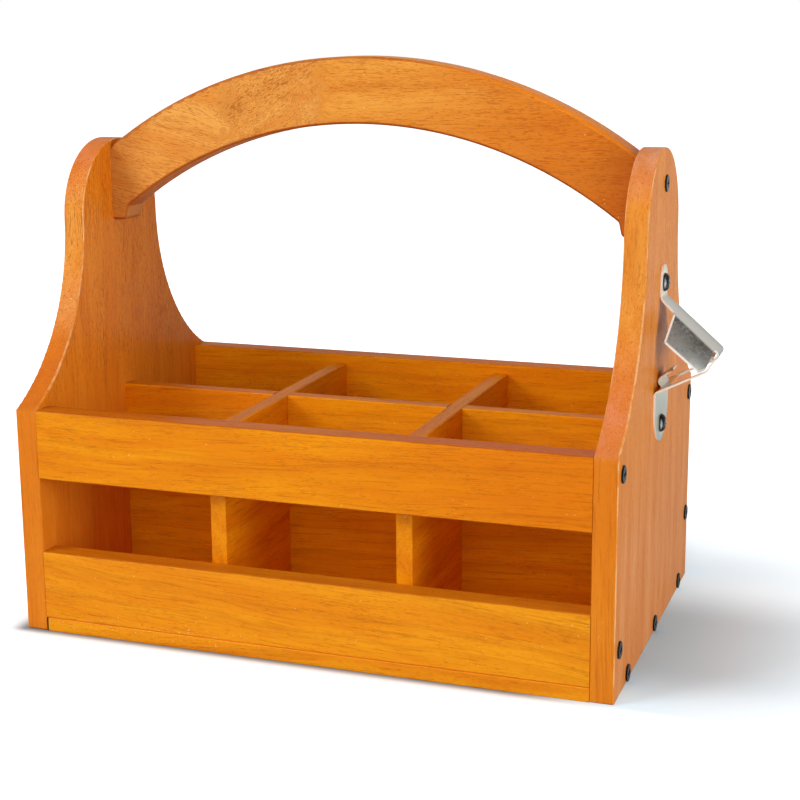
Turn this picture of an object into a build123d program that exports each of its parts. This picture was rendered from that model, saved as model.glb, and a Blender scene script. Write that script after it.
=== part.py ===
from build123d import *
import os
from math import hypot, radians, tan

# Six-bottle wooden carrier: two arched end boards joined by four rails, a bottom board and an
# arched handle, with a lapped grid of dividers inside and a folded steel opener on one end.
# All lengths are in millimetres. X runs along the carrier, -Y is its front and +Z points up.
# The origin is on the ground, under the middle of the carrier.

# Overall box
carrier_length = 304.0
carrier_depth = 188.0
box_height = 115.0

# End boards: straight to the shoulder, a hollow curve to the neck, then a round crown
end_board_thickness = 11.5
crown_radius = 39.5
crown_centre_height = 203.5
foot_radius = 1.2
end_board_edge = 0.9

# Rails and bottom board
rail_height = 35.0
rail_thickness = 12.3
bottom_thickness = 7.0
rail_edge = 0.9
bottom_edge = 0.4

# Handle: one flat beam cut to two arcs, with a short foot at each end, below the end boards' tops
handle_thickness = 18.0
handle_crest_rise = 42.5
handle_middle_height = 33.2
handle_end_drop = 4.1
handle_end_height = 38.5
handle_foot = 7.5
handle_foot_rise = 7.2
handle_foot_corner = 2.5
handle_shoulder = 1.5
handle_edge = 2.0

# Dividers: cross-lapped, with their tops flush and a little below the rails
divider_thickness = 8.0
divider_drop = 5.0
divider_edge = 0.8
lap_clearance = 0.15

# Wood screws: countersunk heads that stand a little proud of the wood
screw_length = 38.0
screw_point = 7.0
screw_shank_radius = 1.8
screw_head_radius = 4.1
screw_head_depth = 2.5
screw_head_land = 0.3
screw_head_proud = 0.9
screw_head_rim = 0.35
screw_clearance = 0.1
recess_span = 4.4
recess_width = 1.2
recess_depth = 1.7
recess_taper = 8

# Places of the wood screws on the ends of the handle, the rails and the bottom board
handle_screw_drop = 13.0
handle_screw_shift = 2.5
upper_screw_drop = 9.2
front_lower_screw_rise = 16.5
rear_lower_screw_rise = 31.0
front_screw_inset = 9.0
rear_screw_inset = 7.3
base_screw_height = 4.6
base_screw_spacing = 67.0
base_screw_shift = 2.0

# Opener: one steel sheet, from its upper tab over the hood and back along the strip to its lower tab
opener_sheet = 1.0
opener_base_height = 127.8
opener_hood_rise = 43.4
opener_hood_reach = 28.3
opener_hood_fall = 24.9
opener_front_fall = 6.6
opener_front_setback = 4.2
opener_upper_tab = 16.3
opener_lower_tab = 27.8
opener_root_bend = 5.0
opener_tab_bend = 2.8
opener_nose_bend = 1.0
opener_strip_bend = 1.6

# Opener: half widths along the sheet, and the lengths over which they change
upper_tab_half = 6.7
upper_tip_length = 6.8
upper_tip_radius = 1.5
hood_half = 9.5
hood_flare = 5.0
hood_band_trim = 1.3
nose_half = 7.6
nose_taper = 3.4
strip_half = 17.0
front_flare = 5.6
lower_tip_length = 19.5
lower_tip_radius = 3.0

# Opener: mouth, cheeks and tooth
mouth_half = 14.4
mouth_top_half = 5.6
mouth_top_bar = 0.6
mouth_root = 1.8
mouth_corner = 3.0
cheek_splay = 29
cheek_depth = 12.4
cheek_start = 9.2
cheek_lean = 6.4
cheek_setback = 2.3
cheek_foot_length = 3.2
cheek_gap = 0.4
cheek_corner = 1.8
hood_fold_radius = 3.0
tooth_half = 8.5
tooth_root_reach = 3.2
tooth_root_rise = 1.2
tooth_bend_reach = 0.8
tooth_bend_rise = 4.2
tooth_reach = 7.3
tooth_rise = 9.2
tooth_bend = 1.6
tooth_tip_length = 7.0

# Pan-head screws of the opener
pan_head_radius = 4.5
pan_head_height = 2.3
pan_head_flat = 1.6
pan_shank_radius = 2.1
pan_screw_length = 10.5
pan_screw_point = 4.0
pan_screw_clearance = 0.15
upper_pan_rise = 7.6
lower_pan_drop = 18.6

# One overrun serves every cut that runs past a face
overrun = 5.0

# Places worked out from the sizes above
half_length = carrier_length / 2
half_inner = half_length - end_board_thickness
half_depth = carrier_depth / 2
bay_depth = carrier_depth - 2 * rail_thickness
divider_height = box_height - divider_drop - bottom_thickness
cell_length = (2 * half_inner - 2 * divider_thickness) / 3
cross_place = (cell_length + divider_thickness) / 2
end_board_height = crown_centre_height + crown_radius
handle_crest = end_board_height + handle_crest_rise
handle_end_top = end_board_height - handle_end_drop
hood_root_height = opener_base_height + opener_hood_rise
nose_height = hood_root_height - opener_hood_fall
front_foot_height = nose_height - opener_front_fall
front_foot_reach = opener_hood_reach - opener_front_setback
opener_top = hood_root_height + opener_upper_tab
opener_bottom = opener_base_height - opener_lower_tab
hood_length = hypot(opener_hood_reach, opener_hood_fall)

base_places = [(base_screw_shift + base_screw_spacing * step, base_screw_height) for step in (-1, 0, 1)]
handle_places = [(handle_screw_shift, handle_end_top - handle_screw_drop)]
front_screw_line = -half_depth + front_screw_inset
rear_screw_line = half_depth - rear_screw_inset
rail_places = {
    "front_upper_rail": (front_screw_line, box_height - upper_screw_drop),
    "front_lower_rail": (front_screw_line, bottom_thickness + front_lower_screw_rise),
    "rear_upper_rail": (rear_screw_line, box_height - upper_screw_drop),
    "rear_lower_rail": (rear_screw_line, bottom_thickness + rear_lower_screw_rise),
}
pan_places = [(0, hood_root_height + upper_pan_rise), (0, opener_base_height - lower_pan_drop)]


# Wood screws and their seats

def screw_profile(clearance=0.0):
    """Half outline of a countersunk screw in the XY plane, the board's face at X = 0 and its point towards -X."""
    head = screw_head_radius + clearance
    shank = screw_shank_radius + clearance
    side_end = (screw_head_proud - screw_head_rim, head)
    top_start = (screw_head_proud, head - screw_head_rim)
    with BuildSketch() as sketch:
        with BuildLine():
            TangentArc(side_end, top_start, tangent=(1, 0))
            Polyline(
                top_start,
                (screw_head_proud, 0),
                (-screw_length - clearance, 0),
                (-screw_length + screw_point, shank),
                (-screw_head_land - screw_head_depth, shank),
                (-screw_head_land, head),
                side_end,
            )
        make_face()
    return sketch.sketch


def cross_recess(top, depth):
    """Tapered cross that is cut into a screw head whose top is at X = top."""
    with BuildPart() as recess:
        with BuildSketch(Plane.YZ.offset(top)):
            Rectangle(recess_span, recess_width)
            Rectangle(recess_width, recess_span)
        extrude(amount=-depth, taper=recess_taper)
    return recess.part


def wood_screw():
    """Countersunk wood screw on the X axis, the board's face at X = 0."""
    return revolve(screw_profile(), Axis.X) - cross_recess(screw_head_proud, recess_depth)


def wood_screw_seat():
    """Countersink and pilot hole for one wood screw, a little larger than the screw."""
    return revolve(screw_profile(screw_clearance), Axis.X)


def pan_screw(clearance=0.0):
    """Pan-head screw on the X axis, the underside of its head at X = 0."""
    head = pan_head_radius + clearance
    shank = pan_shank_radius + clearance
    with BuildSketch() as sketch:
        with BuildLine():
            Line((pan_head_height, 0), (pan_head_height, pan_head_flat))
            TangentArc((pan_head_height, pan_head_flat), (0, head), tangent=(0, 1))
            Polyline(
                (0, head),
                (0, shank),
                (-pan_screw_length + pan_screw_point, shank),
                (-pan_screw_length - clearance, 0),
                (pan_head_height, 0),
            )
        make_face()
    return revolve(sketch.sketch, Axis.X)


def at_end(shape, place, side, face):
    """Moves a screw shape from the X axis to a place (y, z) on one end of the carrier."""
    moved = Pos(face, place[0], place[1]) * shape
    return moved if side > 0 else mirror(moved, about=Plane.YZ)


def drilled(piece, places, sides=(-1, 1)):
    """The piece with the seats of its wood screws cut into it."""
    for side in sides:
        for place in places:
            piece -= at_end(wood_screw_seat(), place, side, half_length)
    return piece


def screw_group(places, side):
    return [at_end(wood_screw(), place, side, half_length) for place in places]


# Wooden pieces

def eased(piece, axis, radius):
    """The piece with its edges along one axis rounded."""
    return fillet(piece.edges().filter_by(axis), radius)


def end_board(side):
    """End board: a plate cut to the arched outline, drilled for its screws."""
    with BuildPart() as board:
        with BuildSketch(Plane.YZ.offset(half_inner)):
            with BuildLine():
                CenterArc((0, crown_centre_height), crown_radius, 0, 180)
                for hand in (-1, 1):
                    neck = (hand * crown_radius, crown_centre_height)
                    shoulder = (hand * half_depth, box_height)
                    TangentArc(neck, shoulder, tangent=(0, -1))
                    Line(shoulder, (hand * half_depth, 0))
                Line((-half_depth, 0), (half_depth, 0))
            outline = make_face()
            fillet(outline.vertices().group_by(Axis.Y)[0], foot_radius)
        extrude(amount=end_board_thickness)
        flats = board.faces().filter_by(Plane.YZ)
        fillet(flats.edges(), end_board_edge)
    plate = board.part
    if side < 0:
        plate = mirror(plate, about=Plane.YZ)
    plate = drilled(plate, base_places + handle_places + list(rail_places.values()), (side,))
    if side > 0:
        for place in pan_places:
            plate -= at_end(pan_screw(pan_screw_clearance), place, side, half_length + opener_sheet)
    return plate


def rail(name, bottom):
    """Rail between the end boards, flush with their front or rear edges."""
    place = rail_places[name]
    centre = (half_depth - rail_thickness / 2) * (-1 if place[0] < 0 else 1)
    body = Pos(0, centre, bottom + rail_height / 2) * Box(2 * half_inner, rail_thickness, rail_height)
    return drilled(eased(body, Axis.X, rail_edge), [place])


def bottom_board():
    body = Pos(0, 0, bottom_thickness / 2) * Box(2 * half_inner, carrier_depth, bottom_thickness)
    return drilled(eased(body, Axis.X, bottom_edge), base_places)


def handle():
    """Arched beam: its ends butt against the end boards, each on a short foot below the arch."""
    under_crest = handle_crest - handle_middle_height
    end_bottom = handle_end_top - handle_end_height
    foot_end = half_inner - handle_foot
    arch_end = foot_end - handle_shoulder
    arch_bottom = end_bottom + handle_foot_rise
    with BuildPart() as beam:
        with BuildSketch(Plane.XZ) as side_view:
            with BuildLine():
                ThreePointArc((-half_inner, handle_end_top), (0, handle_crest), (half_inner, handle_end_top))
                ThreePointArc((-arch_end, arch_bottom), (0, under_crest), (arch_end, arch_bottom))
                for hand in (-1, 1):
                    Polyline(
                        (hand * half_inner, handle_end_top),
                        (hand * half_inner, end_bottom),
                        (hand * foot_end, end_bottom),
                        (hand * arch_end, arch_bottom),
                    )
            make_face()
            foot_start = half_inner - handle_foot / 2
            corners = side_view.vertices().filter_by(lambda corner: abs(corner.X) < foot_start)
            fillet(corners, handle_foot_corner)
        extrude(amount=handle_thickness / 2, both=True)
        long_edges = beam.edges().filter_by(Axis.Y, reverse=True).filter_by(Axis.Z, reverse=True)
        fillet(long_edges, handle_edge)
    return drilled(beam.part, handle_places)


def divider(length, thickness):
    """Plain divider standing on the bottom board, along X, its top edges eased."""
    body = Pos(0, 0, bottom_thickness + divider_height / 2) * Box(length, thickness, divider_height)
    tops = body.edges().filter_by(Axis.X).group_by(Axis.Z)[-1]
    return fillet(tops, divider_edge)


def lap_slot(height):
    slot = divider_thickness + 2 * lap_clearance
    return Box(slot, divider_thickness + overrun, height)


def long_divider():
    """Divider along the carrier, slotted from above for the two cross dividers."""
    board = divider(2 * half_inner, divider_thickness)
    middle = bottom_thickness + divider_height / 2
    depth = divider_height / 2 + overrun
    for x in (-cross_place, cross_place):
        board -= Pos(x, 0, middle + depth / 2) * lap_slot(depth)
    return board


def cross_divider(x):
    """Divider from front to back, slotted from below where it crosses the long one."""
    board = divider(bay_depth, divider_thickness)
    middle = bottom_thickness + divider_height / 2 + lap_clearance
    depth = divider_height / 2 + overrun
    board -= Pos(0, 0, middle - depth / 2) * lap_slot(depth)
    return Pos(x, 0, 0) * Rot(0, 0, 90) * board


# Folded opener

def opener_outline():
    """Front view of the folded band, from the lower tip to the upper tip."""
    with BuildSketch(Plane.YZ) as sketch:
        with BuildLine():
            low = (strip_half, opener_bottom + lower_tip_length)
            high = (upper_tab_half, opener_top - upper_tip_length)
            band_half = hood_half - hood_band_trim
            TangentArc(low, (0, opener_bottom), tangent=(0, -1))
            Polyline(
                low,
                (strip_half, front_foot_height),
                (nose_half, front_foot_height + front_flare),
                (band_half, front_foot_height + front_flare + nose_taper),
                (band_half, hood_root_height - hood_flare),
                (upper_tab_half, hood_root_height),
                high,
            )
            TangentArc(high, (0, opener_top), tangent=(0, 1))
            Line((0, opener_top), (0, opener_bottom))
        make_face()
        mirror(about=Plane.YZ)
        fillet(sketch.vertices().group_by(Axis.Y)[0], lower_tip_radius)
        fillet(sketch.vertices().group_by(Axis.Y)[-1], upper_tip_radius)
    return sketch.sketch


def folded(points, bends, width):
    """Sheet of constant thickness that follows a bent path in the XZ plane, centred on Y = 0."""
    with BuildPart() as sheet:
        with BuildSketch(Plane.XZ):
            with BuildLine():
                FilletPolyline(*points, radius=bends)
                offset(amount=opener_sheet, side=Side.LEFT, kind=Kind.ARC)
            make_face()
        extrude(amount=width / 2, both=True)
    return sheet.part


def opener_band():
    """Tabs, hood, front and strip, folded from one sheet and cut to the front outline."""
    path = [
        (0, opener_top + overrun),
        (0, hood_root_height),
        (opener_hood_reach, nose_height),
        (front_foot_reach, front_foot_height),
        (0, opener_base_height),
        (0, opener_bottom - overrun),
    ]
    bends = [opener_root_bend, opener_nose_bend, opener_strip_bend, opener_tab_bend]
    reach = opener_hood_reach + overrun
    band = folded(path, bends, 2 * strip_half + overrun) & extrude(opener_outline(), reach)
    mouth = extrude(opener_mouth(), reach)
    return band - Pos(opener_sheet, 0, 0) * mouth


def opener_mouth():
    """Front view of the window through the strip and the front, between two legs."""
    low = opener_base_height + mouth_root
    high = front_foot_height + front_flare - mouth_top_bar
    with BuildSketch(Plane.YZ) as sketch:
        with BuildLine():
            Polyline(
                (0, low),
                (mouth_half, low),
                (mouth_half, front_foot_height),
                (mouth_top_half, high),
                (0, high),
                close=True,
            )
        make_face()
        mirror(about=Plane.YZ)
        fillet(sketch.vertices().group_by(Axis.Y)[0], mouth_corner)
    return sketch.sketch


def opener_hood():
    """Roof of the hood with two splayed cheeks folded down from its sides."""
    along = Vector(opener_hood_reach, 0, -opener_hood_fall).normalized()
    section = Plane(origin=(0, 0, hood_root_height), x_dir=(0, 1, 0), z_dir=along)
    drop = cheek_depth + overrun
    spread = drop * tan(radians(cheek_splay))
    with BuildPart() as hood:
        with BuildSketch(section):
            with BuildLine():
                FilletPolyline(
                    (-hood_half - spread, opener_sheet - drop),
                    (-hood_half, opener_sheet),
                    (hood_half, opener_sheet),
                    (hood_half + spread, opener_sheet - drop),
                    radius=hood_fold_radius,
                )
                offset(amount=opener_sheet, side=Side.RIGHT, kind=Kind.ARC)
            make_face()
        extrude(amount=hood_length + overrun)
    return hood.part & cheek_prism(along)


def cheek_prism(along):
    """Side view of the cheeks, as a prism that trims the folded hood to them."""
    down = Vector(along.Z, 0, -along.X)
    root = Vector(0, 0, hood_root_height) - down * opener_sheet
    start = root + along * cheek_start
    low_start = start + along * cheek_lean + down * cheek_depth
    front = root + along * (hood_length - cheek_setback)
    rise = Vector(front_foot_reach, 0, front_foot_height - opener_base_height).normalized()
    above = Vector(-rise.Z, 0, rise.X)
    foot = Vector(front_foot_reach, 0, front_foot_height) + (above - rise) * cheek_gap
    low_front = foot - rise * cheek_foot_length
    points = [start - down * overrun, start, low_start, low_front, foot, front, front - down * overrun]
    with BuildPart() as prism:
        with BuildSketch(Plane.XZ) as side_view:
            with BuildLine():
                Polyline(*[(point.X, point.Z) for point in points], close=True)
            make_face()
            fillet(side_view.vertices().group_by(Axis.X)[0], cheek_corner)
        extrude(amount=strip_half + overrun, both=True)
    return prism.part


def opener_tooth():
    """Tongue turned up from the wall side of the mouth; it catches the rim of the crown cap."""
    path = [
        (tooth_root_reach, opener_base_height + tooth_root_rise),
        (tooth_bend_reach, opener_base_height + tooth_bend_rise),
        (tooth_reach, opener_base_height + tooth_rise),
    ]
    tip = opener_base_height + tooth_rise + opener_sheet
    shoulder = tip - tooth_tip_length
    with BuildSketch(Plane.YZ) as outline:
        with BuildLine():
            Polyline((0, opener_base_height), (tooth_half, opener_base_height), (tooth_half, shoulder))
            TangentArc((tooth_half, shoulder), (0, tip), tangent=(0, 1))
            Line((0, tip), (0, opener_base_height))
        make_face()
        mirror(about=Plane.YZ)
    tongue = folded(path, [tooth_bend], 2 * tooth_half + overrun)
    return tongue & extrude(outline.sketch, opener_hood_reach)


def bottle_opener():
    opener = Pos(half_length, 0, 0) * (opener_band() + opener_hood() + opener_tooth())
    for place in pan_places:
        opener -= at_end(pan_screw(pan_screw_clearance), place, 1, half_length + opener_sheet)
    return opener


# Nodes, one STEP file each

def opener_screw(place):
    screw = pan_screw() - cross_recess(pan_head_height, recess_depth)
    return at_end(screw, place, 1, half_length + opener_sheet)


def carrier_nodes():
    rails = list(rail_places.values())
    nodes = {
        "left_end_board": [end_board(-1)],
        "right_end_board": [end_board(1)],
        "handle": [handle()],
        "front_upper_rail": [rail("front_upper_rail", box_height - rail_height)],
        "front_lower_rail": [rail("front_lower_rail", bottom_thickness)],
        "rear_upper_rail": [rail("rear_upper_rail", box_height - rail_height)],
        "rear_lower_rail": [rail("rear_lower_rail", bottom_thickness)],
        "bottom_board": [bottom_board()],
        "long_divider": [long_divider()],
        "left_cross_divider": [cross_divider(-cross_place)],
        "right_cross_divider": [cross_divider(cross_place)],
        "bottle_opener": [bottle_opener()],
        "opener_upper_screw": [opener_screw(pan_places[0])],
        "opener_lower_screw": [opener_screw(pan_places[1])],
    }
    for side, name in ((-1, "left"), (1, "right")):
        nodes[name + "_handle_screw"] = screw_group(handle_places, side)
        nodes[name + "_rail_screws"] = screw_group(rails, side)
        nodes[name + "_base_screws"] = screw_group(base_places, side)
    return nodes


os.makedirs("parts", exist_ok=True)
for node, pieces in carrier_nodes().items():
    solids = [solid for piece in pieces for solid in piece.solids()]
    shape = solids[0] if len(solids) == 1 else Compound(children=solids)
    shape.label = node
    export_step(shape, f"parts/{node}.step")
    print(node, len(solids), "solids", round(sum(solid.volume for solid in solids)), "mm3")
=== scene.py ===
import bmesh
import bpy
from math import cos, pi, radians, sin
from mathutils import Matrix, Vector
from mathutils.bvhtree import BVHTree


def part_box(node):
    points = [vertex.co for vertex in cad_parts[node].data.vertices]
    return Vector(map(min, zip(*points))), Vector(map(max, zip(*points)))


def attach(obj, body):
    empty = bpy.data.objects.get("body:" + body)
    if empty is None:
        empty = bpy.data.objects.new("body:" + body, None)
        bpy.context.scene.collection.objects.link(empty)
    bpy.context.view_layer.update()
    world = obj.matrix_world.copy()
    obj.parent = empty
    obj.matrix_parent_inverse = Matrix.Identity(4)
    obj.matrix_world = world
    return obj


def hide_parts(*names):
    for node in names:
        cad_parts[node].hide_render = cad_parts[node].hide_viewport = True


# Dressed model of the wooden carrier: stained and lacquered boards, a folded steel opener
# and black screws, on a white studio floor. Metres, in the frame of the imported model.

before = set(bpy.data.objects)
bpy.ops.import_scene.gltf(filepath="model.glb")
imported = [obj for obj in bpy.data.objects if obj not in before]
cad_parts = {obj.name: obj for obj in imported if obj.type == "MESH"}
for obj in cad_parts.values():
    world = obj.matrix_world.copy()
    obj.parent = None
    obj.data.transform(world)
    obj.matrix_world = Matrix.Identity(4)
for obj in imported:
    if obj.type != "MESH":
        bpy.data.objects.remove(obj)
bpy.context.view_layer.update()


# Shader helpers

class Shader:
    """A node tree with a short word for each kind of step. A value is a number, a vector, a colour or
    the output of another node."""

    def __init__(self, tree):
        self.tree = tree
        tree.nodes.clear()

    def feed(self, socket, value):
        """Links another node's output to a socket, or sets the socket to a plain value."""
        if isinstance(value, bpy.types.NodeSocket):
            self.tree.links.new(value, socket)
        else:
            socket.default_value = value

    def node(self, kind, inputs=None, **settings):
        """One node with its settings and inputs."""
        made = self.tree.nodes.new("ShaderNode" + kind)
        for name, value in settings.items():
            setattr(made, name, value)
        for key, value in (inputs or {}).items():
            self.feed(made.inputs[key], value)
        return made

    def group(self, tree, **inputs):
        """One shader group, placed with its own inputs. Gives its outputs."""
        return self.node("Group", inputs, node_tree=tree).outputs

    def calc(self, operation, *values):
        return self.node("Math", dict(enumerate(values)), operation=operation).outputs[0]

    def plus(self, first, second):
        return self.calc("ADD", first, second)

    def minus(self, first, second):
        return self.calc("SUBTRACT", first, second)

    def times(self, value, *factors):
        for factor in factors:
            value = self.calc("MULTIPLY", value, factor)
        return value

    def scaled(self, value, factor, base):
        """The value times a factor, on top of a base."""
        return self.calc("MULTIPLY_ADD", value, factor, base)

    def largest(self, value, *others):
        for other in others:
            value = self.calc("MAXIMUM", value, other)
        return value

    def unsigned(self, value):
        return self.calc("ABSOLUTE", value)

    def vector(self, operation, first, second):
        return self.node("VectorMath", {0: first, 1: second}, operation=operation).outputs["Vector"]

    def dot(self, first, second):
        return self.node("VectorMath", {0: first, 1: second}, operation="DOT_PRODUCT").outputs["Value"]

    def length(self, vector):
        return self.node("VectorMath", {0: vector}, operation="LENGTH").outputs["Value"]

    def parts(self, vector):
        """X, Y and Z of a vector."""
        return self.node("SeparateXYZ", {0: vector}).outputs

    def turned(self, place, angles, shift=(0.0, 0.0, 0.0)):
        return self.node("Mapping", {"Vector": place, "Rotation": angles, "Location": shift}).outputs[0]

    def ramp(self, value, low, high, start=0.0, end=1.0):
        """Smooth step from start to end, while the value goes from low to high."""
        inputs = {"Value": value, "From Min": low, "From Max": high, "To Min": start, "To Max": end}
        return self.node("MapRange", inputs, interpolation_type="SMOOTHSTEP").outputs[0]

    def noise(self, place, cells, detail=3.0, rough=0.55, distort=0.0, output=0):
        """Noise with so many cells to the metre, alike every way or with a number for each axis."""
        if isinstance(cells, tuple):
            place, cells = self.vector("MULTIPLY", place, cells), 1.0
        inputs = {"Vector": place, "Scale": cells, "Detail": detail, "Roughness": rough,
                  "Distortion": distort}
        return self.node("TexNoise", inputs).outputs[output]

    def wander(self, place, cells):
        """Noise as a vector round zero."""
        noise = self.noise(place, cells, 2.0, 0.5, output="Color")
        return self.vector("SUBTRACT", noise, (0.5, 0.5, 0.5))

    def blend(self, share, first, second):
        """A colour between two."""
        return self.node("Mix", {0: share, 6: first, 7: second}, data_type="RGBA").outputs[2]

    def blend_places(self, share, first, second):
        """A place between two."""
        return self.node("Mix", {0: share, 4: first, 5: second}, data_type="VECTOR").outputs[1]


class Finish(Shader):
    """A material with one principled shader, and the places and directions that its layers share."""

    def __init__(self, name):
        self.material = bpy.data.materials.new(name)
        self.material.use_nodes = True
        super().__init__(self.material.node_tree)
        self.surface = self.node("BsdfPrincipled")
        self.node("OutputMaterial", {0: self.surface.outputs[0]})
        coordinate = self.node("TexCoord").outputs
        self.place, self.normal = coordinate["Object"], coordinate["Normal"]
        self.x, _, self.z = self.parts(self.place)
        self.facing_x, self.facing_y, self.facing_z = self.parts(self.normal)

    def set(self, socket, value):
        self.feed(self.surface.inputs[socket], value)

    def set_relief(self, height, strength, depth):
        inputs = {"Strength": strength, "Distance": depth, "Height": height}
        self.set("Normal", self.node("Bump", inputs).outputs[0])


def rgb(red, green, blue):
    """Colour written as a screen colour of 0 to 255, given back as the linear one."""
    def linear(level):
        level = level / 255
        return level / 12.92 if level <= 0.04045 else ((level + 0.055) / 1.055) ** 2.4
    return (linear(red), linear(green), linear(blue), 1.0)


# Wood grain and rubbed arrises, shared by all the boards

def new_group(name, inputs, outputs):
    """Empty shader group with sockets, and its input and output nodes' own sockets. An input without a
    default is a vector."""
    tree = bpy.data.node_groups.new(name, "ShaderNodeTree")
    for socket, default in inputs.items():
        kind = "NodeSocketVector" if default is None else "NodeSocketFloat"
        made = tree.interface.new_socket(socket, in_out="INPUT", socket_type=kind)
        if default is not None:
            made.default_value = default
    for socket in outputs:
        tree.interface.new_socket(socket, in_out="OUTPUT", socket_type="NodeSocketFloat")
    shader = Shader(tree)
    return shader, tree.nodes.new("NodeGroupInput").outputs, tree.nodes.new("NodeGroupOutput").inputs


RING_WIDTH = 0.011
GRAIN_OUTPUTS = ("Figure", "Mottle", "Ring", "Fibre", "Pore", "Height")


def make_grain_group():
    """Figure, growth rings, fibres and pores, with the grain along X of Place. Curl, from 0 to 1, breaks
    the grain up into short ripples, and Open, about 0 to 0.06, opens more pores."""
    inputs = {"Place": None, "Curl": 0.0, "Pith": 0.05, "Open": 0.0}
    wood, given, out = new_group("wood grain", inputs, GRAIN_OUTPUTS)
    place = given["Place"]
    # slow wander of the grain, sideways only
    sideways = wood.vector("MULTIPLY", wood.wander(place, (5.0, 16.0, 16.0)), (0.0, 0.016, 0.016))
    # tight ripples where the grain is curly
    tight = wood.wander(place, (210.0, 90.0, 90.0))
    curled = {0: tight, "Scale": wood.times(given["Curl"], 0.010)}
    ripples = wood.node("VectorMath", curled, operation="SCALE").outputs[0]
    bent = wood.vector("ADD", wood.vector("ADD", place, sideways), ripples)
    # long soft figure, shorter mottling and fine fibres
    figure = wood.noise(bent, (7.0, 85.0, 85.0), 3.0, 0.6)
    mottle = wood.noise(bent, (38.0, 240.0, 240.0), 3.0, 0.6)
    fibre = wood.noise(bent, (24.0, 1050.0, 1050.0), 3.0, 0.6)
    # growth rings round a pith that lies behind the board
    _, depth, rise = wood.parts(bent)
    from_pith = wood.plus(depth, given["Pith"])
    radius = wood.calc("SQRT", wood.scaled(rise, rise, wood.times(from_pith, from_pith)))
    part = wood.calc("FRACT", wood.scaled(figure, 1.6, wood.calc("DIVIDE", radius, RING_WIDTH)))
    ring = wood.times(wood.calc("POWER", part, 5.0), wood.ramp(part, 1.0, 0.93))
    # short and longer open pores, in loose clusters
    short = wood.noise(bent, (330.0, 2900.0, 2900.0), 1.0, 0.5)
    longer = wood.noise(bent, (120.0, 2300.0, 2300.0), 1.0, 0.5)
    cluster = wood.noise(bent, (26.0, 75.0, 75.0), 2.0)
    level = wood.minus(wood.scaled(cluster, -0.22, 0.72), given["Open"])
    short_pore = wood.ramp(wood.minus(short, level), 0.0, 0.09)
    longer_pore = wood.ramp(wood.minus(longer, wood.plus(level, 0.03)), 0.0, 0.08)
    pore = wood.largest(short_pore, longer_pore)
    height = wood.scaled(pore, -0.8, wood.times(fibre, 0.35))
    for socket, value in zip(GRAIN_OUTPUTS, (figure, mottle, ring, fibre, pore, height)):
        wood.feed(out[socket], value)
    return wood.tree


def make_arris_group():
    """Rubbed arris of a board that is thin along Across: 1 on the rounding between its faces and its
    edges. It is broken up along its length, though nowhere below the level Even."""
    inputs = {"Normal": None, "Across": None, "Place": None, "Even": 0.0}
    wood, given, out = new_group("rubbed arris", inputs, ("Edge",))
    facing = wood.dot(given["Normal"], given["Across"])
    square = wood.times(facing, facing)
    slant = wood.times(square, wood.minus(1.0, square))
    broken = wood.ramp(wood.noise(given["Place"], 60.0, 4.0, 0.65), 0.40, 0.60, 0.1, 1.0)
    rubbed = wood.ramp(slant, 0.06, 0.21)
    wood.feed(out["Edge"], wood.times(rubbed, wood.largest(broken, given["Even"])))
    return wood.tree


grain = make_grain_group()
rubbed_arris = make_arris_group()


# Stains, painted light and sheen, and the places where they change

RAIL_TONES = (rgb(243, 154, 12), rgb(224, 116, 6), rgb(172, 68, 4))
GOLDEN_TONES = (rgb(244, 160, 24), rgb(227, 123, 12), rgb(174, 72, 6))
BOARD_TONES = (rgb(235, 142, 34), rgb(222, 120, 22), rgb(174, 78, 16))
HANDLE_TONES = (rgb(238, 160, 64), rgb(218, 116, 24), rgb(172, 74, 12))

# knots and flecks on the handle, and painted shade towards its ends
KNOT_AND_PAINTED_SHADE = rgb(150, 66, 12)
RUBBED = rgb(250, 200, 124)
WORN = rgb(252, 222, 172)
GATHERED = rgb(166, 64, 8)
PALE = rgb(240, 174, 92)
# painted sheen on the end boards' crowns and curve feet, and a painted reflection on their outer faces
ROSY = rgb(228, 128, 84)
PALE_ROSY = rgb(232, 160, 127)
RUSSET = rgb(207, 96, 8)
PAINTED_SHEEN_HAZE = rgb(235, 160, 104)
# painted light on upward faces and along the bottom board's seam
PAINTED_LIGHT = rgb(255, 152, 38)
JOINT_SHADE = rgb(48, 18, 8)

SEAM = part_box("bottom_board")[1].z
OPEN_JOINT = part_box("bottom_board")[0].x
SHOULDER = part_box("front_upper_rail")[1].z
BOARD_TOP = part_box("right_end_board")[1].z
HANDLE_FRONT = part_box("handle")[0].y
HANDLE_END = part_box("handle")[1].x

# pairs of heights on an end board, between which a layer comes in or goes out
OVER_RAILS_STARTS = (SHOULDER - 0.010, SHOULDER + 0.020)
NECK_ENDS = (BOARD_TOP - 0.008, BOARD_TOP - 0.038)
CROWN_STARTS = (BOARD_TOP - 0.029, BOARD_TOP - 0.007)
CURVE_FOOT_ENDS = (SHOULDER + 0.053, SHOULDER + 0.020)
CURVE_STARTS = (SHOULDER - 0.003, SHOULDER + 0.002)
POST_DARKENS = (0.030, 0.090)
HAZE_ENDS = (SHOULDER + 0.005, SHOULDER - 0.065)

LACQUER = {"IOR": 1.16, "Coat Weight": 0.05, "Coat Roughness": 0.18}
LACQUER_RELIEF = 0.0003

HANDLE_KNOT = (-0.0685, HANDLE_FRONT, 0.2605)
KNOT_LENGTH_SHARE = 0.8
CURLY_END = -0.022
SINKING_GRAIN = (0.0, radians(-15), 0.0)
RISING_GRAIN = (0.0, radians(27), 0.0)
BAND_SLOPE = radians(29)


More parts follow.
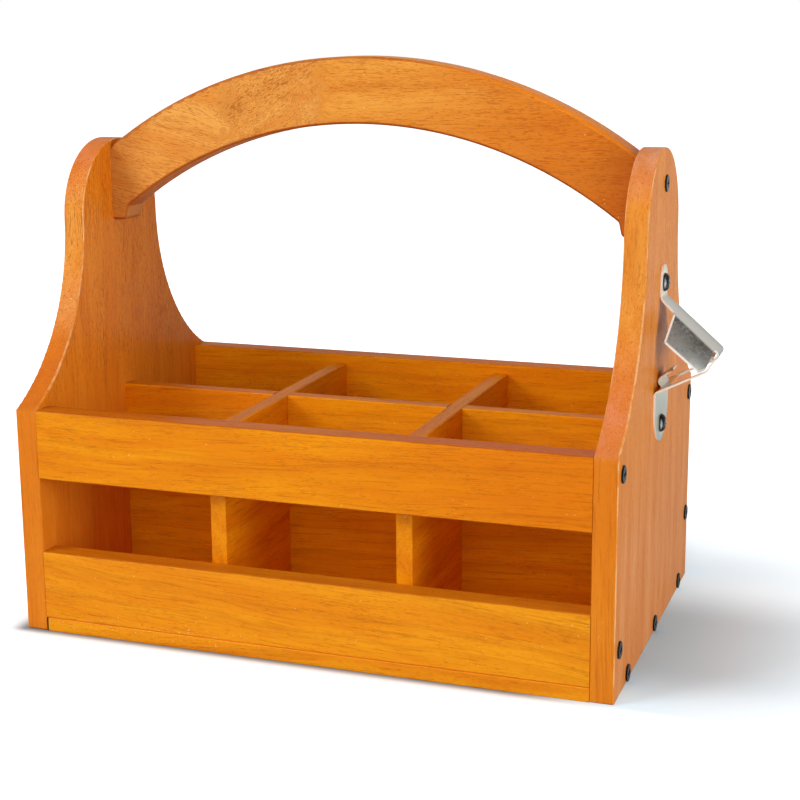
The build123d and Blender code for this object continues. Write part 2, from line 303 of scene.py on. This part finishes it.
class Board(Finish):
    """The finish of one board in the making: its tones and masks, and the colour laid so far."""

    def __init__(self, name, turn, shift, tones, pores, arris):
        super().__init__(name)
        self.light, self.mid, self.dark = tones
        self.pores, self.arris = pores, arris
        self.lay = self.turned(self.place, turn, shift)
        self.curl = 0.0
        self.mark = self.paler = self.edge = self.colour = None

    def lighten(self, share, tone):
        """Turns the light tone towards another."""
        self.light = self.blend(share, self.light, tone)

    def stain(self, share, tone):
        """Lays one more tone over the colour."""
        self.colour = self.blend(share, self.colour, tone)

    def from_seam(self):
        return self.unsigned(self.minus(self.z, SEAM))


def handle_figure(wood):
    """The handle's left third: slanting, paler grain up to one small knot, then a curly patch whose flecks
    lie thickest on a rising band. Towards both end boards the colour darkens in painted shade."""
    fringe = wood.scaled(wood.noise(wood.place, (60.0, 0.0, 160.0)), 0.030, wood.x)
    left = wood.ramp(fringe, CURLY_END + 0.019, CURLY_END + 0.013)
    islands = wood.scaled(wood.noise(wood.place, 110.0), 0.036, wood.x)
    curly = wood.times(left, wood.ramp(islands, HANDLE_KNOT[0] + 0.011, HANDLE_KNOT[0] + 0.017))
    sinking = wood.turned(wood.lay, SINKING_GRAIN)
    rising = wood.turned(wood.lay, RISING_GRAIN)
    lay = wood.blend_places(curly, wood.blend_places(left, wood.lay, sinking), rising)
    # the grain parts round the knot
    from_knot = wood.vector("SUBTRACT", wood.place, HANDLE_KNOT)
    from_knot = wood.vector("MULTIPLY", from_knot, (KNOT_LENGTH_SHARE, 0.0, 1.0))
    reach = wood.length(from_knot)
    near = wood.ramp(reach, 0.020, 0.002)
    parting = wood.node("CombineXYZ", {2: wood.times(near, wood.parts(from_knot)[2], -0.75)}).outputs[0]
    ragged = wood.scaled(wood.noise(wood.place, 700.0), 0.009, reach)
    core = wood.ramp(ragged, 0.0068, 0.0048, end=0.55)
    halo = wood.ramp(reach, 0.009, 0.002, end=0.12)
    # short dark flecks over the curly patch
    off_band = wood.dot(from_knot, (-sin(BAND_SLOPE) / KNOT_LENGTH_SHARE, 0.0, cos(BAND_SLOPE)))
    spread = wood.scaled(wood.noise(wood.place, 140.0), 0.012, wood.unsigned(off_band))
    fleck = wood.noise(rising, (420.0, 1250.0, 1250.0), 3.0, 0.65, 0.8)
    thick = wood.ramp(spread, 0.024, 0.007, 0.25, 1.0)
    flecks = wood.times(curly, wood.ramp(fleck, 0.50, 0.62, end=0.55), thick)
    # painted shade, darker towards the butt joints
    painted_end_shade = wood.ramp(wood.unsigned(wood.x), HANDLE_END - 0.0285, HANDLE_END - 0.001, end=0.42)
    wood.lay = wood.vector("ADD", lay, parting)
    wood.curl = wood.scaled(near, 0.5, wood.times(curly, 0.7))
    wood.mark = wood.largest(core, halo, flecks, painted_end_shade)
    wood.paler = wood.times(left, 0.45)


def paint_light_on_upward_faces(wood, start, end):
    """Painted light: between two places along X the upward faces turn brighter, and their arris takes
    the middle tone.
    """
    lit = wood.times(wood.ramp(wood.facing_z, 0.1, 0.4), wood.ramp(wood.x, start, end))
    wood.arris = wood.blend(lit, wood.arris, wood.mid)
    wood.lighten(lit, PAINTED_LIGHT)
    wood.mid = wood.blend(wood.times(lit, 0.75), wood.mid, PAINTED_LIGHT)


def redder_light_tone(wood, start, end):
    """Between two places along X the light tone turns towards the middle one, in soft patches."""
    patch = 0.05
    patchy = wood.scaled(wood.noise(wood.lay, 24.0, 2.0), patch, wood.x)
    wood.lighten(wood.ramp(patchy, start + patch / 2, end + patch / 2, end=0.8), wood.mid)


def curved_edge(wood, crown, foot):
    """An end board's edge: paler on the curve in painted sheen, with painted sheen tones of its own on the
    crown and at the foot of the curve, and redder under the shoulder. Down there the board's pores are
    filled, only its outer arris is rubbed and its outer face takes a paler haze of painted reflection."""
    over_rails = wood.ramp(wood.z, *OVER_RAILS_STARTS)
    outer = wood.ramp(wood.times(wood.x, wood.facing_x), 0.0, 0.02)
    wood.edge = wood.times(wood.edge, wood.largest(over_rails, outer))
    wood.pores = wood.ramp(wood.z, *OVER_RAILS_STARTS, 0.3 * wood.pores, wood.pores)
    edgewise = wood.ramp(wood.unsigned(wood.facing_x), 0.7, 0.3)
    # painted sheen: paler on the curve, and tones of its own on the crown and at the foot of the curve
    wood.lighten(wood.times(over_rails, wood.ramp(wood.z, *NECK_ENDS), edgewise, 0.45), PALE)
    wood.lighten(wood.times(edgewise, wood.ramp(wood.z, *CROWN_STARTS, end=0.7)), crown)
    low = wood.times(edgewise, wood.ramp(wood.z, *CURVE_FOOT_ENDS, end=0.8))
    above_shoulder = wood.ramp(wood.z, *CURVE_STARTS)
    wood.lighten(wood.times(low, above_shoulder), foot)
    under_shoulder = wood.minus(1.0, above_shoulder)
    wood.lighten(wood.times(low, under_shoulder, wood.ramp(wood.z, *POST_DARKENS)), wood.mid)
    # painted reflection: a paler haze on the outer face under the shoulder
    outer_face = wood.times(outer, wood.minus(1.0, edgewise))
    wood.lighten(wood.times(outer_face, wood.ramp(wood.z, *HAZE_ENDS, end=0.6)), PAINTED_SHEEN_HAZE)


def seam_light_and_specks(wood):
    """Painted light in a brighter band along the seam on top of the bottom board, where it lifts the shade
    of the groove, and pale specks of filler along the left half.
    """
    uneven = wood.scaled(wood.noise(wood.place, 90.0, 2.0), 0.008, wood.minus(wood.z, SEAM + 0.004))
    by_seam = wood.times(wood.ramp(wood.unsigned(uneven), 0.006, 0.002), wood.ramp(wood.x, 0.0, -0.06))
    specks = wood.ramp(wood.noise(wood.place, 820.0, 2.0), 0.66, 0.70, end=0.75)
    wood.stain(wood.times(specks, by_seam), WORN)
    # painted light, lifting the shade in the seam's groove
    wood.stain(wood.ramp(wood.from_seam(), 0.0009, 0.0004, end=0.4), PAINTED_LIGHT)


def stained_wood(name, turn, shift, across, tones, pith, rings=0.3, bands=0.7, lines=0.42, pores=0.36,
                 open_pores=0.0, arris=RUBBED, rubbed=0.12, even=0.0, top_shade=0.0, figured=None,
                 bright_top=None, redder=None, edge_sheen_tones=None, seam=False, open_joint=False):
    """Lacquered board: turn lays the grain along it, shift picks its piece of the tree, across is its
    thickness way and tones its light, middle and dark stain. Rings, bands, lines and pores are how strongly
    the growth rings, the figure, the fibres and the pores show. Rubbed is how strongly the arris shows in
    the colour arris, and the top share how much painted shade darkens the upward faces. The rest, from
    figured on, calls for the layers above."""
    wood = Board(name, turn, shift, tones, pores, arris)
    if figured:
        figured(wood)
    figure = wood.group(grain, Place=wood.lay, Curl=wood.curl, Pith=pith, Open=open_pores)
    arrises = wood.group(rubbed_arris, Normal=wood.normal, Across=across, Place=wood.place, Even=even)
    wood.edge = arrises["Edge"]
    # painted light on the upward faces
    if bright_top:
        paint_light_on_upward_faces(wood, *bright_top)
    if redder:
        redder_light_tone(wood, *redder)
    if wood.paler:
        wood.lighten(wood.paler, PALE)
    if edge_sheen_tones:
        curved_edge(wood, *edge_sheen_tones)
    if seam:
        wood.edge = wood.times(wood.edge, wood.ramp(wood.from_seam(), 0.001, 0.003))
    wood.colour = wood.light
    wood.stain(wood.ramp(figure["Figure"], 0.30, 0.72, end=bands), wood.mid)
    wood.stain(wood.ramp(figure["Mottle"], 0.42, 0.74, end=0.3), wood.mid)
    wood.stain(wood.times(figure["Ring"], rings), wood.dark)
    wood.stain(wood.ramp(figure["Fibre"], 0.50, 0.74, end=lines), wood.dark)
    wood.stain(wood.times(figure["Pore"], wood.pores), wood.dark)
    # painted shade: downward faces darker, and upward faces by the top share
    underneath = wood.ramp(wood.facing_z, -0.25, -0.75)
    wood.stain(wood.scaled(underneath, 0.4, wood.ramp(wood.facing_z, 0.6, 0.9, end=top_shade)), wood.dark)
    # knot marks, and painted shade towards the handle's ends
    if wood.mark:
        wood.stain(wood.mark, KNOT_AND_PAINTED_SHADE)
    wood.stain(wood.times(wood.edge, rubbed), wood.arris)
    # tiny pale nibs of dust under the lacquer, which also stand in for painted glints
    wood.stain(wood.ramp(wood.noise(wood.place, 620.0, 1.0), 0.775, 0.80, end=0.55), RUBBED)
    if seam:
        seam_light_and_specks(wood)
    if open_joint:
        wood.stain(wood.ramp(wood.x, OPEN_JOINT + 0.0010, OPEN_JOINT + 0.0007, end=0.95), JOINT_SHADE)
    wood.set("Base Color", wood.colour)
    rough = wood.scaled(figure["Pore"], 0.2, wood.scaled(figure["Fibre"], 0.14, 0.32))
    wood.set("Roughness", wood.scaled(underneath, 0.35, wood.scaled(wood.edge, 0.08, rough)))
    ripple = wood.noise(wood.place, 150.0, 2.0)
    wood.set_relief(wood.scaled(ripple, 0.8, figure["Height"]), 0.30, LACQUER_RELIEF)
    for socket, value in LACQUER.items():
        wood.set(socket, value)
    return wood.material


ALONG = (0.0, radians(2), 0.0)
DRIFTING = (0.0, radians(-4), 0.0)
UPRIGHT = (0.0, radians(91), 0.0)
ACROSS = (0.0, 0.0, pi / 2)
THROUGH_X = (1.0, 0.0, 0.0)
THROUGH_Y = (0.0, 1.0, 0.0)
THROUGH_Z = (0.0, 0.0, 1.0)

end_board = dict(turn=UPRIGHT, across=THROUGH_X, tones=BOARD_TONES, rings=0.12, arris=WORN)
upper_rail = dict(turn=ALONG, across=THROUGH_Y, tones=RAIL_TONES, arris=GATHERED, rubbed=0.5, even=0.4)
lower_rail = dict(across=THROUGH_Y, arris=GATHERED, rubbed=0.35, even=0.3)
cross_divider = dict(turn=ACROSS, across=THROUGH_X, tones=RAIL_TONES, top_shade=0.4)

wood_finishes = {
    "left_end_board": dict(end_board, shift=(0.11, 0.03, 0.02), pith=0.09, pores=0.64, open_pores=0.032,
                           rubbed=0.5, edge_sheen_tones=(ROSY, RUSSET)),
    "right_end_board": dict(end_board, shift=(0.63, 0.01, 0.01), pith=0.12, pores=0.42, open_pores=0.01,
                            rubbed=0.42, edge_sheen_tones=(PALE_ROSY, ROSY)),
    "handle": dict(turn=ALONG, shift=(1.2, 0.06, -0.12), across=THROUGH_Y, tones=HANDLE_TONES, pith=0.15,
                   rings=0.14, bands=0.45, lines=0.3, pores=0.52, open_pores=0.03, arris=GATHERED,
                   rubbed=0.7, even=0.75, figured=handle_figure, bright_top=(0.02, 0.08),
                   redder=(0.0, 0.12)),
    "front_upper_rail": dict(upper_rail, shift=(2.1, 0.10, -0.05), pith=0.08, top_shade=0.6, redder=(0.0, 0.12)),
    "front_lower_rail": dict(lower_rail, turn=DRIFTING, shift=(3.3, 0.09, 0.02), tones=GOLDEN_TONES,
                             pith=0.03, bands=0.6, top_shade=0.45, seam=True),
    "rear_upper_rail": dict(upper_rail, shift=(4.4, -0.10, 0.00), pith=0.16, top_shade=0.5),
    "rear_lower_rail": dict(lower_rail, turn=ALONG, shift=(5.2, -0.09, 0.03), tones=RAIL_TONES, pith=0.14,
                            top_shade=0.5),
    "bottom_board": dict(turn=ALONG, shift=(6.5, 0.0, 0.02), across=THROUGH_Z, tones=GOLDEN_TONES,
                         pith=0.10, rubbed=0.0, seam=True, open_joint=True),
    "long_divider": dict(turn=ALONG, shift=(7.1, 0.01, 0.04), across=THROUGH_Y, tones=RAIL_TONES, pith=0.10,
                         top_shade=0.4),
    "left_cross_divider": dict(cross_divider, shift=(8.2, 0.02, 0.01), pith=0.11),
    "right_cross_divider": dict(cross_divider, shift=(9.4, 0.05, 0.03), pith=0.13),
}


# Opener and screws

SHEET = 0.001
TAB_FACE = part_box("right_end_board")[1].x + SHEET
HOOD_ROOT = 0.1712
HOOD_FALL_SHARE = 0.88
CHEEK_RIM = ((0.1596, 0.0, 0.1659), (0.1562, 0.0, 0.1523), (0.1727, 0.0, 0.1385), (0.1756, 0.0, 0.1399))
RIM_DEPTHS = (0.0011, 0.0007)
EDGE_BREAK = 0.00014
WELD = 0.00001
JUST_INSIDE = 0.00005
FLAT_TURN = radians(0.4)
SMOOTH_TURN = radians(28)
SHARP_TURN = radians(40)
METAL_RELIEF = 0.0002

NICKEL = rgb(190, 186, 178)
NICKEL_CLOUD = rgb(168, 164, 156)
CHEEK_TONE = rgb(222, 218, 209)
CHEEK_SHADE = rgb(142, 137, 129)
CHEEK_BLOTCH = rgb(112, 107, 100)
CHEEK_MOTTLE = rgb(206, 202, 194)
# painted light on the roof and the tabs
ROOF_TONE = rgb(236, 232, 222)
TAB_TONE = rgb(242, 232, 208)
SCRATCHED = rgb(222, 219, 212)
# painted highlight on the cut edges
PAINTED_EDGE_HIGHLIGHT = rgb(254, 249, 238)
SCREW_BLACK = rgb(26, 25, 25)


def cheek_rim(steel):
    """1 within a sheet's thickness of the cheek's free edges, which run from point to point of its rim."""
    rim = 0.0
    for first, last in zip(CHEEK_RIM, CHEEK_RIM[1:]):
        inward = (Vector(last) - Vector(first)).cross(Vector(THROUGH_Y)).normalized()
        depth = steel.dot(steel.vector("SUBTRACT", steel.place, first), inward)
        rim = steel.largest(steel.ramp(depth, *RIM_DEPTHS), rim)
    return rim


def opener_steel():
    """Satin nickel on folded sheet: dull and mottled on the cheeks, with painted shade darkest under the
    roof, brighter in painted light on the roof and the tabs, and a painted highlight along the cut edges."""
    steel = Finish("satin nickel")
    cloud = steel.noise(steel.place, 110.0, 4.0)
    mottle = steel.noise(steel.place, 620.0, 4.0, 0.7)
    blotch = steel.noise(steel.place, 300.0, 3.0, 0.6)
    grit = steel.noise(steel.place, 2600.0, 2.0)
    scratch = steel.ramp(steel.noise(steel.place, (1400.0, 1400.0, 160.0), 2.0, 0.6, 0.4), 0.62, 0.74)
    roof = steel.ramp(steel.facing_z, 0.15, 0.6)
    tab = steel.ramp(steel.x, TAB_FACE + 0.0015, TAB_FACE + 0.0004)
    cheek = steel.ramp(steel.unsigned(steel.facing_y), 0.55, 0.8)
    # how far a place lies under the slope of the roof, for painted shade on the cheeks
    slope = steel.scaled(steel.minus(steel.x, TAB_FACE), -HOOD_FALL_SHARE, HOOD_ROOT)
    under = steel.scaled(cloud, 0.008, steel.minus(slope, steel.z))
    dull = steel.blend(steel.ramp(under, 0.018, 0.004), CHEEK_TONE, CHEEK_SHADE)
    dull = steel.blend(steel.ramp(blotch, 0.50, 0.66, end=0.45), dull, CHEEK_BLOTCH)
    dull = steel.blend(steel.ramp(mottle, 0.44, 0.66, end=0.75), dull, CHEEK_MOTTLE)
    tone = steel.blend(steel.ramp(cloud, 0.3, 0.7), NICKEL, NICKEL_CLOUD)
    # painted light: brighter on the upward roof and on the tabs
    tone = steel.blend(roof, tone, ROOF_TONE)
    tone = steel.blend(tab, tone, TAB_TONE)
    tone = steel.blend(cheek, tone, dull)
    tone = steel.blend(steel.times(scratch, 0.35), tone, SCRATCHED)
    # painted highlight along the cut edges and the cheek's rim
    cut = steel.node("Attribute", attribute_name="cut_edge").outputs["Fac"]
    cut = steel.largest(cut, steel.times(cheek_rim(steel), cheek))
    steel.set("Base Color", steel.blend(cut, tone, PAINTED_EDGE_HIGHLIGHT))
    steel.set("Metallic", steel.scaled(cut, -0.8, 1.0))
    rough = steel.scaled(cloud, 0.16, steel.scaled(grit, 0.10, 0.20))
    steel.set("Roughness", steel.scaled(cut, 0.22, rough))
    steel.set_relief(steel.scaled(scratch, -0.5, steel.times(grit, 0.3)), 0.2, METAL_RELIEF)
    return steel.material


def screw_metal(name, face, lit, shine=None):
    """Screw steel, black round its head and on its shank, of the colour face on the flat of its head and
    lit where rubbed. Shine is a painted reflection, the brighter colour of the head's front and rear, above
    its foot on the opener's tab."""
    steel = Finish(name)
    cloud = steel.noise(steel.place, 500.0)
    tone = SCREW_BLACK
    # painted reflection of a lamp on the head's front and rear
    if shine:
        above_foot = steel.ramp(steel.x, TAB_FACE + 0.0002, TAB_FACE + 0.0009)
        sideways = steel.ramp(steel.unsigned(steel.facing_y), 0.62, 0.84)
        tone = steel.blend(steel.times(sideways, above_foot), tone, shine)
    tone = steel.blend(steel.ramp(steel.unsigned(steel.facing_x), 0.80, 0.97), tone, face)
    tone = steel.blend(steel.ramp(cloud, 0.50, 0.75, end=0.6), tone, lit)
    steel.set("Base Color", tone)
    steel.set("Roughness", steel.scaled(cloud, 0.25, 0.22))
    steel.set_relief(cloud, 0.15, METAL_RELIEF)
    steel.set("Metallic", 0.75)
    return steel.material


def rounded_opener():
    """The folded sheet again, with its cut edges broken and marked, in place of the sharp-edged one."""
    shape = bmesh.new()
    shape.from_mesh(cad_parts["bottle_opener"].data)
    bmesh.ops.remove_doubles(shape, verts=shape.verts, dist=WELD)
    bmesh.ops.dissolve_limit(shape, angle_limit=FLAT_TURN, verts=shape.verts, edges=shape.edges)
    sheet = BVHTree.FromBMesh(shape)
    sharp = [edge for edge in shape.edges if edge.is_manifold and edge.calc_face_angle() > SHARP_TURN]
    bmesh.ops.bevel(shape, geom=sharp, offset=EDGE_BREAK, offset_type="OFFSET", segments=2, profile=0.5,
                    affect="EDGES", clamp_overlap=True, material=-1)
    bmesh.ops.triangulate(shape, faces=shape.faces)
    # a face with more than the sheet's thickness behind it lies on a cut edge
    cut_edge = shape.faces.layers.float.new("cut_edge")
    for face in shape.faces:
        face.smooth = True
        inside = face.calc_center_median() - JUST_INSIDE * face.normal
        through = sheet.ray_cast(inside, -face.normal)[3]
        face[cut_edge] = 0.0 if through is not None and through < 1.15 * SHEET else 1.0
    mesh = bpy.data.meshes.new("folded_opener")
    shape.to_mesh(mesh)
    shape.free()
    mesh.set_sharp_from_angle(angle=SMOOTH_TURN)
    mesh.materials.append(opener_steel())
    piece = bpy.data.objects.new("folded_opener", mesh)
    bpy.context.scene.collection.objects.link(piece)
    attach(piece, "root")
    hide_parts("bottle_opener")


def dress(node, material):
    """Gives one CAD node its material in place of the plain one it came with."""
    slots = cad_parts[node].data.materials
    slots.clear()
    slots.append(material)


for node, finish in wood_finishes.items():
    dress(node, stained_wood("wood of " + node.replace("_", " "), **finish))
wood_screw_finish = screw_metal("blackened screw", face=rgb(70, 68, 67), lit=rgb(96, 93, 90))
pan_screw_finish = screw_metal("worn pan head", face=rgb(52, 50, 48), lit=rgb(120, 117, 112),
                               shine=rgb(205, 203, 198))
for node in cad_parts:
    if node.endswith(("screw", "screws")):
        dress(node, pan_screw_finish if node.startswith("opener") else wood_screw_finish)
rounded_opener()


# Studio floor, white world and soft lamps

WHITE = (1.0, 1.0, 1.0, 1.0)
FOOTPRINT = (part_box("right_end_board")[1].x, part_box("right_end_board")[1].y, 0.0)
RIGHT_BACK_SPREAD = (1.0, 1.6, 0.0)
LEFT_FRONT_SPREAD = (10.0, 16.0, 0.0)
SHADOW_REACH = 0.22
CONTACT_GREY = (0.26, 0.27, 0.28, 1.0)
FLOOR_GREY = (0.71, 0.74, 0.76, 1.0)
TINT_AT_FOOT = (0.54, 0.75, 0.89, 1.0)
TINT_AWAY = (0.63, 0.75, 0.83, 1.0)
FLOOR_HALF = 9.0
AMBIENT = 0.24
LAMP_AIM = Vector((0.0, 0.0, 0.12))


def floor_colours(floor, right_side, distance):
    """Painted contact shadow: darker by the foot, though not on the right. There it is tinted against the
    orange light that the carrier's lit end throws on it."""
    contact = floor.largest(floor.ramp(distance, 0.0, 0.09), right_side)
    plain = floor.blend(contact, CONTACT_GREY, FLOOR_GREY)
    tinted = floor.blend(floor.ramp(distance, 0.0, 0.045), TINT_AT_FOOT, TINT_AWAY)
    return floor.blend(right_side, plain, tinted)


def floor_material():
    """White floor that glows for the camera, so that it runs into the background, but not in the carrier's
    shadow, where the glow is held back in a painted shadow over the real one: wide on the right,
    narrower behind, and close to the foot at the front and on the left."""
    material = bpy.data.materials.new("white floor")
    material.use_nodes = True
    floor = Shader(material.node_tree)
    place = floor.node("TexCoord").outputs["Object"]
    x, y, _ = floor.parts(place)
    right_back = floor.vector("MAXIMUM", floor.vector("SUBTRACT", place, FOOTPRINT), (0.0, 0.0, 0.0))
    left_front = floor.vector("MINIMUM", floor.vector("ADD", place, FOOTPRINT), (0.0, 0.0, 0.0))
    right_back = floor.vector("MULTIPLY", right_back, RIGHT_BACK_SPREAD)
    left_front = floor.vector("MULTIPLY", left_front, LEFT_FRONT_SPREAD)
    distance = floor.length(floor.vector("ADD", right_back, left_front))
    right_side = floor.ramp(x, 0.10, 0.16)
    # at the foot the painted shadow is deepest half way along the depth
    off_middle = floor.unsigned(floor.plus(y, 0.01))
    at_foot = floor.scaled(floor.ramp(off_middle, 0.03, 0.095, end=0.37), right_side, 0.05)
    path = floor.node("LightPath").outputs
    mirrored = floor.times(floor.ramp(distance, 0.3, 1.2, end=0.55), path["Is Glossy Ray"])
    seen = floor.largest(path["Is Camera Ray"], path["Is Transmission Ray"], mirrored)
    glow = floor.times(floor.ramp(distance, 0.0, SHADOW_REACH, at_foot, 1.0), seen)
    matt = floor.node("BsdfDiffuse", {"Color": floor_colours(floor, right_side, distance)}).outputs[0]
    shine = floor.node("Emission", {"Color": WHITE, "Strength": glow}).outputs[0]
    both = floor.node("AddShader", {0: matt, 1: shine}).outputs[0]
    floor.node("OutputMaterial", {"Surface": both})
    return material


def studio_floor():
    shape = bmesh.new()
    bmesh.ops.create_grid(shape, x_segments=1, y_segments=1, size=FLOOR_HALF)
    mesh = bpy.data.meshes.new("studio_floor")
    shape.to_mesh(mesh)
    shape.free()
    mesh.materials.append(floor_material())
    floor = bpy.data.objects.new("studio_floor", mesh)
    bpy.context.scene.collection.objects.link(floor)


def white_world():
    """White to the camera. Reflections find a white sweep behind the object and a darker room in front."""
    world = bpy.data.worlds.new("studio")
    bpy.context.scene.world = world
    world.use_nodes = True
    sky = Shader(world.node_tree)
    _, back, up = sky.parts(sky.node("TexCoord").outputs["Generated"])
    room = sky.plus(sky.ramp(back, -0.5, 0.6, 0.28, 0.55), sky.ramp(up, 0.08, 0.6, end=0.1))
    path = sky.node("LightPath").outputs
    mirrored = sky.times(room, path["Is Glossy Ray"])
    strength = sky.largest(path["Is Camera Ray"], path["Is Transmission Ray"], mirrored, AMBIENT)
    light = sky.node("Background", {"Color": WHITE, "Strength": strength}).outputs[0]
    sky.node("OutputWorld", {"Surface": light})


def soft_lamp(name, place, size, power, mirrored):
    """Square lamp that faces the middle of the object, and shows in reflections only if mirrored."""
    lamp = bpy.data.lights.new(name, "AREA")
    lamp.shape = "SQUARE"
    lamp.size = size
    lamp.energy = power
    holder = bpy.data.objects.new(name, lamp)
    holder.visible_glossy = mirrored
    bpy.context.scene.collection.objects.link(holder)
    turn = (LAMP_AIM - Vector(place)).to_track_quat("-Z", "Y").to_matrix().to_4x4()
    holder.matrix_world = Matrix.Translation(place) @ turn


studio_floor()
white_world()
soft_lamp("key_lamp", place=(-1.4, -1.3, 1.2), size=0.9, power=22.0, mirrored=True)
soft_lamp("front_lamp", place=(0.3, -2.0, 0.9), size=1.3, power=14.0, mirrored=False)
soft_lamp("side_lamp", place=(2.0, -0.5, 0.45), size=1.0, power=21.5, mirrored=False)
soft_lamp("top_lamp", place=(-0.3, 0.2, 1.9), size=1.2, power=5.0, mirrored=True)


# Camera at the photograph's place

CAMERA_PLACE = (0.289379, -0.764474, 0.30145)
YAW = radians(19.569)
PITCH = radians(12.151)
ROLL = radians(-0.423)


def photo_camera():
    back = Vector((sin(YAW) * cos(PITCH), -cos(YAW) * cos(PITCH), sin(PITCH)))
    level = Vector((cos(YAW), sin(YAW), 0.0))
    rise = back.cross(level)
    right = cos(ROLL) * level + sin(ROLL) * rise
    up = cos(ROLL) * rise - sin(ROLL) * level
    data = bpy.data.cameras.new("photo_camera")
    data.sensor_width = 36.0
    data.lens = 72.58
    data.shift_y = -0.0375
    data.clip_start = 0.01
    data.clip_end = 60.0
    camera = bpy.data.objects.new("photo_camera", data)
    bpy.context.scene.collection.objects.link(camera)
    turn = Matrix((right, up, back)).transposed().to_4x4()
    camera.matrix_world = Matrix.Translation(CAMERA_PLACE) @ turn
    bpy.context.scene.camera = camera


photo_camera()
bpy.context.scene.view_settings.view_transform = "Standard"
